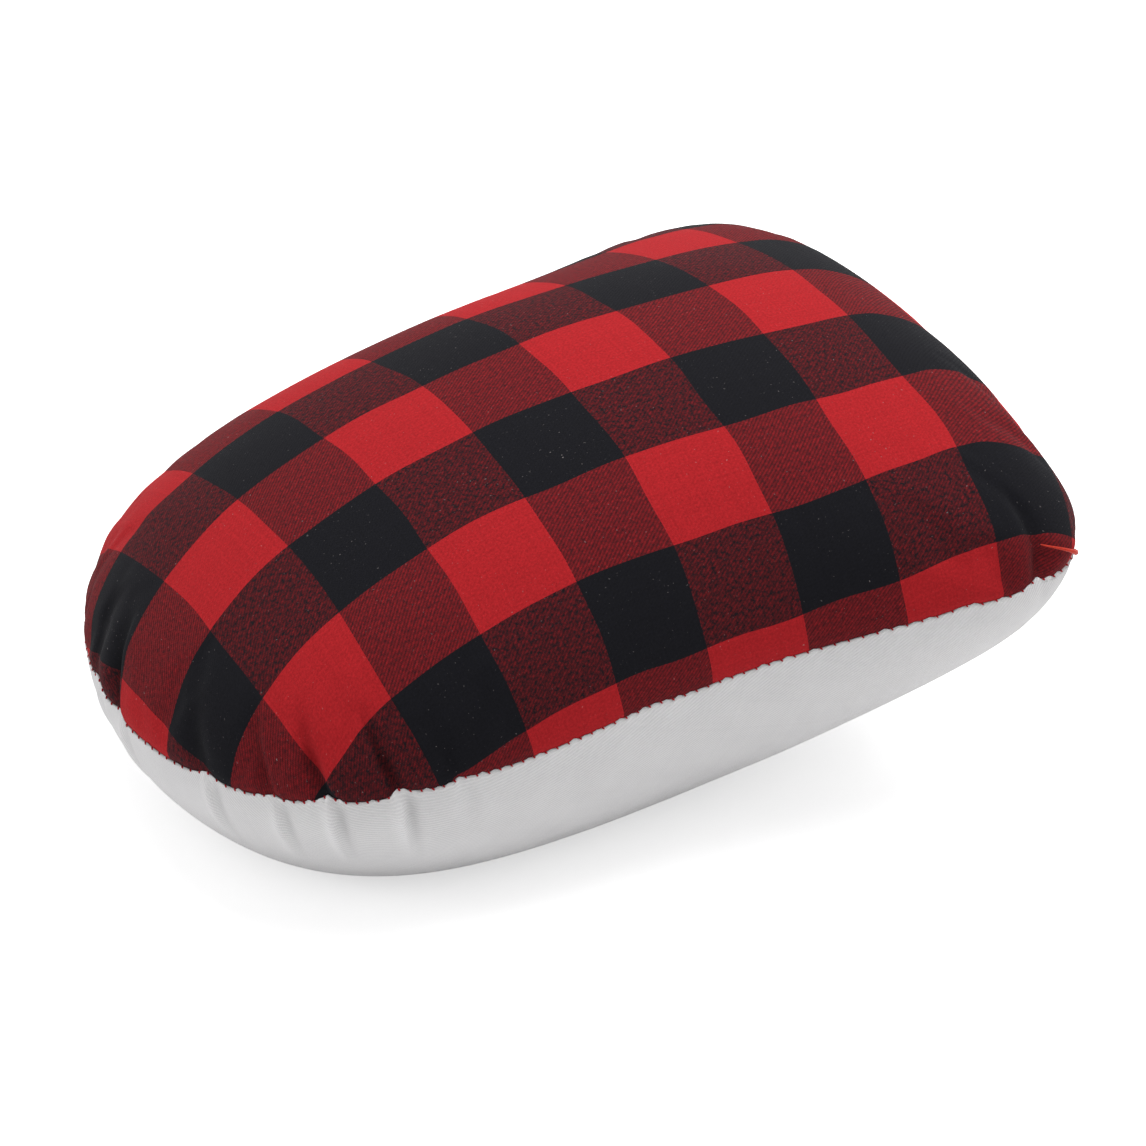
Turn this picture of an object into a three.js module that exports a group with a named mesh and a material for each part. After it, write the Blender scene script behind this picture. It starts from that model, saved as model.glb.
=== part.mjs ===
import * as THREE from 'three';

// A tailors ham: a firm pressing cushion with a checked upper cover and a white drill underside.
// Millimetres, +Z up, +X towards the broad end. The origin is on the table, under the middle of the ham.

// Plan of the seam
const HALF_LENGTH = 111;
const HALF_WAIST = 77;
const END_FLARE = 0.46; // share by which both ends are drawn out wider than the waist
const BROAD_POWER = 4.2; // 2 is an ellipse, more makes the broad end squarer
const CORNER_FADE = 6.4; // how soon the square corners round off above and below the seam

// The two covers, measured from the plane of the seam
const CROWN_RISE = 48;
const BELLY_DROP = 64;
const CROWN_LEAN = 14; // the crown lies this far towards the broad end
const BELLY_LEAN = 9.3; // the belly lies this far towards the narrow end
const SEAM_SAG = 1.6; // the seam dips at both ends and rises along the sides

// How the filled ham lies on the table
const RESTING_PITCH = THREE.MathUtils.degToRad(7.6); // the broad end is lifted
const SEAM_HEIGHT = 53; // table to the middle of the seam plane
const SETTLE_ROLL = 6; // height over which the belly rolls flat on to the table

// Where the seam draws the cloth in
const DITCH_DEPTH = 1.1;
const DITCH_WIDTH = 5;
const TUCK_REACH = 16; // distance from the seam over which a tuck fades
const TUCKS = [
  { around: 174, width: 4.0, depth: 1.4 },
  { around: 181, width: 4.5, depth: 3.0 },
  { around: 218, width: 4.5, depth: 1.8 },
  { around: 228, width: 4.5, depth: 2.4 },
  { around: 309, width: 4.5, depth: 2.2 },
];

// Cloth, thread and sewing
const PLAID_THICKNESS = 1.1;
const DRILL_THICKNESS = 0.8;
const LINING_THICKNESS = 0.5;
const SEAM_ALLOWANCE = 9;
const TURN = 0.65; // roundness of a cover's folded edge
const GROOVE_LIP = 0.4; // the filling rounds off where the turned-in edges enter it
const MACHINE_THREAD = 0.5;
const CLOSING_THREAD = 0.9;
const STITCH_INSET = 1.5; // lining fold to the machine stitches
const GAP_FROM = THREE.MathUtils.degToRad(8); // filling gap along the broad end
const GAP_TO = THREE.MathUtils.degToRad(-40);
const TAIL_TO = THREE.MathUtils.degToRad(-47.3); // loose end of the closing thread
const TAIL_CLIMB = 8;
const CLEARANCE = 0.3;

// Fineness of the surfaces
const SPOKES = 58;
const SPOKE_CROWDING = 0.15; // spokes lie closer together round the narrow end
const CROWN_SHARES = [0.14, 0.28, 0.42, 0.55, 0.67]; // rows between the crown and the seam
const BELLY_SHARES = [0.16, 0.32, 0.46, 0.59, 0.72]; // rows between the belly and the seam
const RIM_STEPS = [1.5, 6.5, 14]; // rows close to the seam, from the groove of the filling
const THREAD_SIDES = 6;
const GAP_RINGS = 16;
const TAIL_RINGS = 6;
const DIFFERENCE = 1e-4;

const TOP = 1;
const BOTTOM = -1;
const RIGHT_ANGLE = Math.PI / 2;
const SEAM_UP = new THREE.Vector3(-Math.sin(RESTING_PITCH), 0, Math.cos(RESTING_PITCH));

const reachOf = (side) => (side === TOP ? CROWN_RISE : BELLY_DROP);

// Depths of the layers under a cover and the half height of the groove that the turned-in edges need
const liningDepth = (cover) => cover + CLEARANCE;
const liningBack = (cover) => liningDepth(cover) + LINING_THICKNESS;
const fillingDepth = (cover) => liningBack(cover) + CLEARANCE;
const stitchOffset = (cover) => CLEARANCE / 2 + fillingDepth(cover) + MACHINE_THREAD / 2;
const grooveOffset = (cover) => stitchOffset(cover) + MACHINE_THREAD / 2 + CLEARANCE;
const GROOVE = Math.max(grooveOffset(PLAID_THICKNESS), grooveOffset(DRILL_THICKNESS));

// The belly below the table level spreads flat
function settle(height) {
  if (height <= -SETTLE_ROLL) return 0;
  if (height >= SETTLE_ROLL) return height;
  return (height + SETTLE_ROLL) ** 2 / (4 * SETTLE_ROLL);
}

// Section angle of the seam, 0 at the widest level, a right angle at the crown
function seamRise(around) {
  const height = -SEAM_SAG * Math.cos(2 * around);
  return Math.asin(height / (height > 0 ? CROWN_RISE : BELLY_DROP));
}

// How far the seam and its tucks draw the cloth in
function seamPull(around, rise) {
  const turned = rise - seamRise(around);
  const distance = Math.abs(turned) * (turned > 0 ? CROWN_RISE : BELLY_DROP);
  let pull = DITCH_DEPTH * Math.exp(-((distance / DITCH_WIDTH) ** 2));
  for (const tuck of TUCKS) {
    const degrees = THREE.MathUtils.radToDeg(around) - tuck.around;
    const aside = THREE.MathUtils.euclideanModulo(degrees + 180, 360) - 180;
    pull += tuck.depth * Math.exp(-((aside / tuck.width) ** 2) - distance / TUCK_REACH);
  }
  return pull;
}

// A point of the outside, by its angle around the plan and its section angle
function outside(around, rise) {
  const cos = Math.cos(around);
  const sin = Math.sin(around);
  const spread = Math.cos(rise);
  const lift = Math.sin(rise);
  const squareness = cos > 0 ? (BROAD_POWER - 2) * spread ** CORNER_FADE : 0;
  const power = 2 + squareness;
  const rim = (Math.abs(cos) ** power + Math.abs(sin) ** power) ** (-1 / power);
  const rimRadius = rim * Math.hypot(HALF_LENGTH * cos, HALF_WAIST * sin);
  const reach = rim * spread * (1 - seamPull(around, rise) / rimRadius);
  const along = reach * cos;
  const x = HALF_LENGTH * along + lift * (lift > 0 ? CROWN_LEAN : BELLY_LEAN);
  const y = HALF_WAIST * reach * sin * (1 + END_FLARE * along ** 2);
  const z = lift * (lift > 0 ? CROWN_RISE : BELLY_DROP);
  const height = SEAM_HEIGHT + x * Math.sin(RESTING_PITCH) + z * Math.cos(RESTING_PITCH);
  return new THREE.Vector3(x * Math.cos(RESTING_PITCH) - z * Math.sin(RESTING_PITCH), y, settle(height));
}

function outward(around, rise) {
  if (rise >= RIGHT_ANGLE) return SEAM_UP.clone();
  if (rise <= -RIGHT_ANGLE) return new THREE.Vector3(0, 0, -1);
  const sideways = outside(around + DIFFERENCE, rise).sub(outside(around - DIFFERENCE, rise));
  const upwards = outside(around, rise + DIFFERENCE).sub(outside(around, rise - DIFFERENCE));
  return sideways.cross(upwards).normalize();
}

// A point at a depth under the outside
function under(around, rise, depth) {
  return outside(around, rise).addScaledVector(outward(around, rise), -depth);
}

// Directions at the seam: out of the ham in the plane of the seam, and square to that plane
function seamFrame(around) {
  const ahead = around + DIFFERENCE;
  const behind = around - DIFFERENCE;
  const tangent = outside(ahead, seamRise(ahead)).sub(outside(behind, seamRise(behind)));
  const out = tangent.cross(SEAM_UP).normalize();
  return { origin: outside(around, seamRise(around)), out, up: SEAM_UP };
}

// Points of a section, each given as a function of the angle around the plan
const bodyPoint = (side, share, depth) => (around) =>
  under(around, THREE.MathUtils.lerp(side * RIGHT_ANGLE, seamRise(around), share), depth);

const rimPoint = (side, distance, depth) => (around) =>
  under(around, seamRise(around) + (side * distance) / reachOf(side), depth);

const edgePoint = (side, offset, depth) => (around) => {
  const { origin, out, up } = seamFrame(around);
  return origin.addScaledVector(up, side * offset).addScaledVector(out, -depth);
};

// One layer of cloth or filling, from the middle of the crown or belly to just short of the seam
function layer(side, depth) {
  const shares = side === TOP ? CROWN_SHARES : BELLY_SHARES;
  const body = [0, ...shares].map((share) => bodyPoint(side, share, depth));
  const rim = RIM_STEPS.toReversed().map((step) => rimPoint(side, GROOVE + step, depth));
  return [...body, ...rim];
}

function coverSection(side, thickness) {
  const face = CLEARANCE / 2;
  return [
    ...layer(side, 0),
    rimPoint(side, face + TURN, 0),
    edgePoint(side, face, TURN),
    edgePoint(side, face, SEAM_ALLOWANCE),
    edgePoint(side, face + thickness, SEAM_ALLOWANCE),
    edgePoint(side, face + thickness, thickness),
    ...layer(side, thickness).toReversed(),
  ];
}

function liningSection(side, cover) {
  const front = liningDepth(cover);
  const back = liningBack(cover);
  const face = CLEARANCE / 2;
  return [
    ...layer(side, front),
    edgePoint(side, face + front, front),
    edgePoint(side, face + front, SEAM_ALLOWANCE),
    edgePoint(side, face + back, SEAM_ALLOWANCE),
    edgePoint(side, face + back, back),
    ...layer(side, back).toReversed(),
  ];
}

function fillingSection() {
  const upper = fillingDepth(PLAID_THICKNESS);
  const lower = fillingDepth(DRILL_THICKNESS);
  const grooveDepth = SEAM_ALLOWANCE + CLEARANCE;
  return [
    ...layer(BOTTOM, lower),
    rimPoint(BOTTOM, grooveOffset(DRILL_THICKNESS), lower + GROOVE_LIP),
    edgePoint(BOTTOM, grooveOffset(DRILL_THICKNESS), grooveDepth),
    edgePoint(TOP, grooveOffset(PLAID_THICKNESS), grooveDepth),
    rimPoint(TOP, grooveOffset(PLAID_THICKNESS), upper + GROOVE_LIP),
    ...layer(TOP, upper).toReversed(),
  ];
}

function spokeAngle(spoke) {
  const even = (2 * Math.PI * spoke) / SPOKES;
  return even + SPOKE_CROWDING * Math.sin(even);
}

function namedMesh(name, geometry, colour, roughness) {
  geometry.computeVertexNormals();
  const mesh = new THREE.Mesh(geometry, new THREE.MeshStandardMaterial({ color: colour, roughness, metalness: 0 }));
  mesh.name = name;
  return mesh;
}

// The second face of a layer is split along the diagonals of the first, so that nested layers stay apart
function splitAlike(geometry, rows) {
  const index = geometry.getIndex();
  const strips = rows - 1;
  for (let quad = 0; quad < SPOKES * strips; quad += 1) {
    if (quad % strips < strips / 2) continue;
    const near = (quad % strips) + Math.floor(quad / strips) * rows;
    const far = near + rows;
    [near, far, far + 1, near, far + 1, near + 1].forEach((corner, k) => index.setX(6 * quad + k, corner));
  }
}

// A section turned once round, with each of its points drawn on to the ham at every spoke
function turned(name, section, colour, roughness) {
  const profile = section.map((_, row) => new THREE.Vector2(row % (section.length - 1) === 0 ? 0 : 1, row));
  const geometry = new THREE.LatheGeometry(profile, SPOKES);
  const position = geometry.getAttribute('position');
  for (let vertex = 0; vertex < position.count; vertex += 1) {
    const spoke = Math.floor(vertex / section.length) % SPOKES;
    const point = section[vertex % section.length](spokeAngle(spoke));
    position.setXYZ(vertex, point.x, point.y, point.z);
  }
  splitAlike(geometry, section.length);
  return namedMesh(name, geometry, colour, roughness);
}

// A round thread extruded straight, one step for each ring, then bent through its rings
function thread(name, diameter, rings, colour) {
  const corners = Array.from({ length: THREAD_SIDES }, (_, corner) => {
    const turn = (2 * Math.PI * corner) / THREAD_SIDES;
    return new THREE.Vector2(Math.cos(turn), Math.sin(turn)).multiplyScalar(diameter / 2);
  });
  const steps = rings.length - 1;
  const geometry = new THREE.ExtrudeGeometry(new THREE.Shape(corners), { depth: steps, steps, bevelEnabled: false });
  const position = geometry.getAttribute('position');
  for (let vertex = 0; vertex < position.count; vertex += 1) {
    const { centre, out, up } = rings[Math.round(position.getZ(vertex))];
    const point = centre.clone().addScaledVector(out, position.getX(vertex));
    point.addScaledVector(up, position.getY(vertex));
    position.setXYZ(vertex, point.x, point.y, point.z);
  }
  return namedMesh(name, geometry, colour, 0.6);
}

// Machine stitches lie on the linings' turned-in edges, everywhere but at the filling gap
function machineRings(side, cover) {
  const angles = Array.from({ length: SPOKES }, (_, spoke) => -spokeAngle(spoke));
  const sewn = angles.filter((around) => around < GAP_TO && around > GAP_FROM - 2 * Math.PI);
  const inset = liningBack(cover) + STITCH_INSET;
  return sewn.map((around) => {
    const { out, up } = seamFrame(around);
    return { centre: edgePoint(side, stitchOffset(cover), inset)(around), out, up };
  });
}

// The closing thread lies in the ditch across the gap, then climbs on to the upper cover and ends loose
function closingRings() {
  const lying = CLOSING_THREAD / 2 + CLEARANCE;
  const inDitch = Math.SQRT2 * lying - TURN - CLEARANCE / 2;
  const ring = (around, climb) => {
    const rise = seamRise(around) + climb / CROWN_RISE;
    const { up } = seamFrame(around);
    const height = Math.min(lying, inDitch + climb);
    return { centre: under(around, rise, -height), out: outward(around, rise), up };
  };
  const rings = [];
  for (let step = 0; step < GAP_RINGS; step += 1) {
    rings.push(ring(THREE.MathUtils.lerp(GAP_FROM, GAP_TO, step / GAP_RINGS), 0));
  }
  for (let step = 0; step <= TAIL_RINGS; step += 1) {
    const share = step / TAIL_RINGS;
    rings.push(ring(THREE.MathUtils.lerp(GAP_TO, TAIL_TO, share), TAIL_CLIMB * share ** 1.5));
  }
  return rings;
}

const ham = new THREE.Group();
ham.add(
  turned('plaid_cover', coverSection(TOP, PLAID_THICKNESS).toReversed(), 0xb2242a, 0.95),
  turned('drill_cover', coverSection(BOTTOM, DRILL_THICKNESS), 0xc8c6c7, 0.9),
  turned('upper_lining', liningSection(TOP, PLAID_THICKNESS).toReversed(), 0xd9cfb8, 0.95),
  turned('lower_lining', liningSection(BOTTOM, DRILL_THICKNESS), 0xd9cfb8, 0.95),
  turned('sawdust_filling', fillingSection(), 0xc49a62, 1.0),
  thread('needle_thread', MACHINE_THREAD, machineRings(TOP, PLAID_THICKNESS), 0xb3242b),
  thread('bobbin_thread', MACHINE_THREAD, machineRings(BOTTOM, DRILL_THICKNESS), 0xb3242b),
  thread('closing_thread', CLOSING_THREAD, closingRings(), 0xd8402c),
);

const box = new THREE.Box3().setFromObject(ham);
ham.position.set(-(box.min.x + box.max.x) / 2, -(box.min.y + box.max.y) / 2, -box.min.z);

export default ham;
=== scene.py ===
# %% [markdown]
# # A tailors ham
# A tailors ham is a hard, rounded cushion that darts and curved seams are pressed over. Two covers,
# checked twill above and white drill below, are sewn round one seam and packed tight with sawdust.
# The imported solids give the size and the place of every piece. This script dresses them: each soft
# solid is replaced by cloth with folds, a weave and stitches, in the same metres and the same frame.

# %% Load the solids as a fixed frame
import math

import bmesh
import bpy
import numpy as np
from mathutils import Matrix, Vector, noise
from mathutils.bvhtree import BVHTree


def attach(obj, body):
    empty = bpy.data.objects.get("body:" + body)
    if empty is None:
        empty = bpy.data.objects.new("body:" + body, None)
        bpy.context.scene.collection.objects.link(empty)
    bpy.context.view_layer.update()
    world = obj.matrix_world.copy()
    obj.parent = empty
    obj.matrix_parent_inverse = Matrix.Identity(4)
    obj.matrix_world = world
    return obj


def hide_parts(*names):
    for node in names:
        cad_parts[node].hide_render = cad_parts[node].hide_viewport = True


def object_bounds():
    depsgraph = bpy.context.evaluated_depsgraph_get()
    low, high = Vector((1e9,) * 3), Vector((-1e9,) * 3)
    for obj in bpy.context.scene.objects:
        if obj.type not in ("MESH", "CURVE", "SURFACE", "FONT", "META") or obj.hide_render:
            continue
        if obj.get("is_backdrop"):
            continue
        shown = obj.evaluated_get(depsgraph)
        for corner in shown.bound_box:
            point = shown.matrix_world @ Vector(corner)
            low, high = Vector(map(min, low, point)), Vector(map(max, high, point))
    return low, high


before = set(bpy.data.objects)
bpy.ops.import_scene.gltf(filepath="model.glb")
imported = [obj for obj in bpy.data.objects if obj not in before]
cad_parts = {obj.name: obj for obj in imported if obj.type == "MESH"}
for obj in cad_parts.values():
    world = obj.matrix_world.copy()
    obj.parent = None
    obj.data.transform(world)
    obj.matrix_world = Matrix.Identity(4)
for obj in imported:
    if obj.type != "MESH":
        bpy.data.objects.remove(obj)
cad_low, cad_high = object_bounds()
print("solids", sorted(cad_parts), "from", tuple(cad_low), "to", tuple(cad_high))

# %% [markdown]
# ## The shape of the ham
# Seen from above, the seam is a long oval that is squarer at its broad end and drawn out wider at both
# ends than at its waist. Every section through the middle is a pair of quarter ovals, a low one for the
# crown and a deep one for the belly. One function gives a point of the outside from two angles: `around`
# the plan, 0 at the broad end, and `rise` from the seam to the crown. A sculpted mesh would do too, but
# a function lets the covers, the linings, the filling and the stitches all follow one shape. A few flatter
# places, a millimetre or two deep, are taken off afterwards, where the filling was packed less full.

# %% The outside of the ham, in metres
HALF_LENGTH, HALF_WAIST = 0.111, 0.077
END_FLARE = 0.46
BROAD_POWER, CORNER_FADE = 4.2, 6.4
CROWN_RISE, BELLY_DROP = 0.048, 0.064
CROWN_LEAN, BELLY_LEAN = 0.014, 0.0093
SEAM_SAG, SEAM_DROP = 0.0016, 0.0017
TIP, TIP_DROP, TIP_SPAN = 178, 0.0012, 14
PITCH = math.radians(7.6)
SEAM_HEIGHT, SETTLE_ROLL = 0.053, 0.006
DITCH_DEPTH, DITCH_WIDTH = 0.0005, 0.003
# Flatter places: degrees round and above the seam with the span of each, and the depth.
FLATS = (
    (331, 16, 15, 9, 0.0022),
    (316, 12, -8, 6, 0.0006),
    (255, 24, -43, 16, 0.0024),
    (122, 24, 30, 20, 0.0013),
    (30, 14, 20, 14, 0.0012),
)
TOP, BOTTOM = 1, -1
CROWN = math.pi / 2
SEAM_UP = Vector((-math.sin(PITCH), 0, math.cos(PITCH)))
in_frame = Vector((0, 0, 0))


def reach_of(side):
    return CROWN_RISE if side == TOP else BELLY_DROP


def settle(height):
    """The belly below the table level spreads flat."""
    if height <= -SETTLE_ROLL:
        return 0.0
    return height if height >= SETTLE_ROLL else (height + SETTLE_ROLL) ** 2 / (4 * SETTLE_ROLL)


def aside_of(around, place):
    """Degrees round the seam from a place, between -180 and 180."""
    return (math.degrees(around) - place + 180) % 360 - 180


def seam_rise(around):
    tip = TIP_DROP * math.exp(-((aside_of(around, TIP) / TIP_SPAN) ** 2))
    height = -SEAM_SAG * math.cos(2 * around) - SEAM_DROP - tip
    return math.asin(height / (CROWN_RISE if height > 0 else BELLY_DROP))


def drawn_in(around, rise):
    """How far the seam and the flatter places draw the cloth in."""
    turned = rise - seam_rise(around)
    distance = turned * reach_of(TOP if turned > 0 else BOTTOM)
    depth = DITCH_DEPTH * math.exp(-((distance / DITCH_WIDTH) ** 2))
    for place, wide, above, high, flat in FLATS:
        away = (aside_of(around, place) / wide) ** 2 + ((math.degrees(rise) - above) / high) ** 2
        depth += flat * math.exp(-away)
    return depth


def ham_point(around, rise):
    """A point of the outside, from its angle round the plan and its angle above the seam."""
    cos, sin = math.cos(around), math.sin(around)
    spread, lift = max(math.cos(rise), 0.0), math.sin(rise)
    power = 2 + ((BROAD_POWER - 2) * spread ** CORNER_FADE if cos > 0 else 0)
    rim = (abs(cos) ** power + abs(sin) ** power) ** (-1 / power)
    full = rim * math.hypot(HALF_LENGTH * cos, HALF_WAIST * sin)
    reach = rim * spread * (1 - drawn_in(around, rise) / full)
    along = reach * cos
    x = HALF_LENGTH * along + lift * (CROWN_LEAN if lift > 0 else BELLY_LEAN)
    y = HALF_WAIST * reach * sin * (1 + END_FLARE * along ** 2)
    z = lift * (CROWN_RISE if lift > 0 else BELLY_DROP)
    height = SEAM_HEIGHT + x * math.sin(PITCH) + z * math.cos(PITCH)
    return Vector((x * math.cos(PITCH) - z * math.sin(PITCH), y, settle(height))) + in_frame


def outward(around, rise, step=1e-4):
    """The direction out of the ham at a place."""
    if abs(rise) > CROWN - 2 * step:
        return SEAM_UP.copy() if rise > 0 else Vector((0, 0, -1))
    sideways = ham_point(around + step, rise) - ham_point(around - step, rise)
    upwards = ham_point(around, rise + step) - ham_point(around, rise - step)
    return sideways.cross(upwards).normalized()


samples = [
    ham_point(math.radians(around), math.radians(rise))
    for around in range(0, 360, 2)
    for rise in range(-60, 61, 4)
]
low = Vector(min(p[k] for p in samples) for k in range(3))
high = Vector(max(p[k] for p in samples) for k in range(3))
in_frame = (cad_low + cad_high - low - high) / 2
in_frame.z = 0
print("the shape moves", [round(1000 * c, 2) for c in in_frame], "mm to sit on the solids")

# %% [markdown]
# ## The camera
# The photograph looks down on the near long side from a good distance, so its lines hardly converge.
# A long lens keeps that flat perspective. The small shift puts the ham where the picture has it, a little
# off the middle, without turning the camera.

# %% Camera at the photograph's viewing angle
TARGET = Vector((0, 0, 0.048)) + in_frame
AZIMUTH, ELEVATION, DISTANCE = math.radians(-28.352), math.radians(31.068), 1.601
SENSOR, LENS, SHIFT = 36, 210.04, (0.0303, -0.0122)
back = Vector((
    math.sin(AZIMUTH) * math.cos(ELEVATION),
    -math.cos(AZIMUTH) * math.cos(ELEVATION),
    math.sin(ELEVATION),
))
camera = bpy.data.objects.new("camera", bpy.data.cameras.new("camera"))
camera.data.sensor_width = SENSOR
camera.data.lens = LENS
camera.data.shift_x, camera.data.shift_y = SHIFT
camera.location = TARGET + DISTANCE * back
camera.rotation_euler = back.to_track_quat("Z", "Y").to_euler()
bpy.context.scene.collection.objects.link(camera)
bpy.context.scene.camera = camera
print("camera stands", round(DISTANCE, 2), "m away")

# %% [markdown]
# ## Light and floor
# A product picture like this is lit by a large soft box overhead, with a smaller lamp at the left that brings
# out the folds. The floor is a plain white sheet that throws light back on the belly. Its own shading is
# kept, so that the ham's soft shadow stays on it, and a little glow that only the looking rays see brings
# the paper up to the white of the background.

# %% Studio floor, world and soft box
scene = bpy.context.scene
scene.view_settings.view_transform = "Standard"
FLOOR_SIZE, FLOOR_DROP = 8.0, 0.0004
PAPER, PAPER_GLOW = 0.97, 0.55
WORLD_LIGHT = 0.35
BOX_PLACE, BOX_SIZE, BOX_WATTS = Vector((0.4, 0.15, 1.35)), 1.4, 20.2
SIDE_PLACE, SIDE_SIZE, SIDE_WATTS = Vector((-1.2, 0.5, 0.45)), 0.4, 2.2


def wire(tree, socket, value):
    """Links a socket to another, or sets it to a plain value."""
    if isinstance(value, bpy.types.NodeSocket):
        tree.links.new(value, socket)
    else:
        socket.default_value = value


def calc(tree, operation, *values):
    node = tree.nodes.new("ShaderNodeMath")
    node.operation = operation
    for socket, value in zip(node.inputs, values):
        wire(tree, socket, value)
    return node.outputs[0]


def looked_at(tree):
    """1 for the rays that look at a surface, 0 for the rays that light others by it."""
    rays = tree.nodes.new("ShaderNodeLightPath").outputs
    mirrored = calc(tree, "MAXIMUM", rays["Is Glossy Ray"], rays["Is Transmission Ray"])
    return calc(tree, "MAXIMUM", rays["Is Camera Ray"], mirrored)


world = bpy.data.worlds.new("studio")
scene.world = world
world.use_nodes = True
tree = world.node_tree
background = tree.nodes["Background"]
background.inputs["Color"].default_value = (1, 1, 1, 1)
shown_white = calc(tree, "MAXIMUM", looked_at(tree), WORLD_LIGHT)
wire(tree, background.inputs["Strength"], shown_white)

floor_mesh = bpy.data.meshes.new("floor")
bm = bmesh.new()
bmesh.ops.create_grid(bm, x_segments=1, y_segments=1, size=FLOOR_SIZE / 2)
bmesh.ops.translate(bm, verts=bm.verts, vec=(0, 0, -FLOOR_DROP))
bm.to_mesh(floor_mesh)
bm.free()
floor = bpy.data.objects.new("floor", floor_mesh)
scene.collection.objects.link(floor)
floor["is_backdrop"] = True

paper = bpy.data.materials.new("white_paper")
paper.use_nodes = True
tree = paper.node_tree
tree.nodes.clear()
sheet = tree.nodes.new("ShaderNodeBsdfDiffuse")
sheet.inputs["Color"].default_value = (PAPER, PAPER, PAPER, 1)
glow = tree.nodes.new("ShaderNodeEmission")
wire(tree, glow.inputs["Strength"], calc(tree, "MULTIPLY", looked_at(tree), PAPER_GLOW))
both = tree.nodes.new("ShaderNodeAddShader")
wire(tree, both.inputs[0], sheet.outputs[0])
wire(tree, both.inputs[1], glow.outputs[0])
wire(tree, tree.nodes.new("ShaderNodeOutputMaterial").inputs["Surface"], both.outputs[0])
floor_mesh.materials.append(paper)


def soft_lamp(name, place, size, watts):
    lamp = bpy.data.objects.new(name, bpy.data.lights.new(name, "AREA"))
    lamp.data.shape = "SQUARE"
    lamp.data.size = size
    lamp.data.energy = watts
    lamp.location = place
    lamp.rotation_euler = (place - TARGET).to_track_quat("Z", "Y").to_euler()
    scene.collection.objects.link(lamp)


soft_lamp("soft_box", BOX_PLACE, BOX_SIZE, BOX_WATTS)
soft_lamp("side_lamp", SIDE_PLACE, SIDE_SIZE, SIDE_WATTS)
print("lit by", BOX_WATTS, "W overhead,", SIDE_WATTS, "W from the left and a world of", WORLD_LIGHT)

# %% [markdown]
# ## A blank for the covers
# A ball from Blender's own sphere has a pole where many thin triangles meet, and cloth wrinkles badly there.
# A cube that is cut into a grid and blown up to a ball has only quads of nearly one size. Half of it is the
# blank for one cover, with its cut edge as the seam. Its edge is cut into as many steps as the seam has
# stitches.

# %% Half a ball of quads
GRID = 56
STITCHES = 4 * GRID


def ball(grid):
    bm = bmesh.new()
    bmesh.ops.create_cube(bm, size=2)
    bmesh.ops.subdivide_edges(bm, edges=bm.edges[:], cuts=grid - 1, use_grid_fill=True)
    for vert in bm.verts:
        vert.co = Vector([math.tan(c * math.pi / 4) for c in vert.co]).normalized()
    return bm


def half_ball(grid, side):
    bm = ball(grid)
    everything = bm.verts[:] + bm.edges[:] + bm.faces[:]
    bmesh.ops.bisect_plane(
        bm, geom=everything, dist=1e-5, plane_co=(0, 0, 0), plane_no=(0, 0, side), clear_inner=True
    )
    return bm


def angles(vert, side, margin=0.0):
    """Angles on the ham for a point of the ball, with the edge held a margin short of the seam."""
    around = math.atan2(vert.co.y, vert.co.x)
    edge = seam_rise(around) + side * margin / reach_of(side)
    share = abs(math.asin(max(-1.0, min(1.0, vert.co.z)))) / CROWN
    return around, edge + (side * CROWN - edge) * share


def new_piece(name, bm):
    mesh = bpy.data.meshes.new(name)
    bm.to_mesh(mesh)
    bm.free()
    piece = bpy.data.objects.new(name, mesh)
    scene.collection.objects.link(piece)
    return piece


print("a cover is cut from", 3 * GRID ** 2, "quads, with", STITCHES, "stitches along its edge")

# %% [markdown]
# ## Drawing the covers on
# Each point of the blank goes to its place on the ham. The edge stops just short of the seam, because the
# cloth turns in there. A slow noise, a few tenths of a millimetre deep, stands for the lumps of the filling.

# %% The two covers before they are puffed up
COVER_THICKNESS = {TOP: 0.0011, BOTTOM: 0.0008}
CLEARANCE, TURN, SEAM_ALLOWANCE = 0.0003, 0.0002, 0.009
FACE = 0.00006
LUMP_SIZE, LUMP_DEPTH = 0.035, 0.0005
LUMPS_FROM_SEAM, LUMPS_FROM_TABLE = 0.02, 0.01


def lumps(place):
    return LUMP_DEPTH * noise.noise(place / LUMP_SIZE)


def drawn_cover(name, side):
    bm = half_ball(GRID, side)
    bm.verts.index_update()
    places = [angles(vert, side, FACE + TURN) for vert in bm.verts]
    for vert, (around, rise) in zip(bm.verts, places):
        point = ham_point(around, rise)
        away = abs(rise - seam_rise(around)) * reach_of(side)
        settled = min(1.0, point.z / LUMPS_FROM_TABLE)
        vert.co = point + outward(around, rise) * lumps(point) * min(1.0, away / LUMPS_FROM_SEAM) * settled
    bmesh.ops.recalc_face_normals(bm, faces=bm.faces)
    return new_piece(name, bm), places


checked_cover, checked_places = drawn_cover("checked_cover", TOP)
drill_cover, drill_places = drawn_cover("drill_underside", BOTTOM)
print("drawn on:", [(p.name, len(p.data.vertices)) for p in (checked_cover, drill_cover)])

# %% [markdown]
# ## Laying the cloth flat
# The checks have to lie on the ham as woven cloth does. Unwrapping a cover with the least stretch gives the
# flat piece that it would be cut from. Scaled to the real area, its UV map holds metres of cloth, so every
# check is one inch wherever it lies. A weave drawn in Object coordinates would smear on the steep sides.

# %% Unwrap a cover to metres of cloth
CHECK = 0.0254


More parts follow.
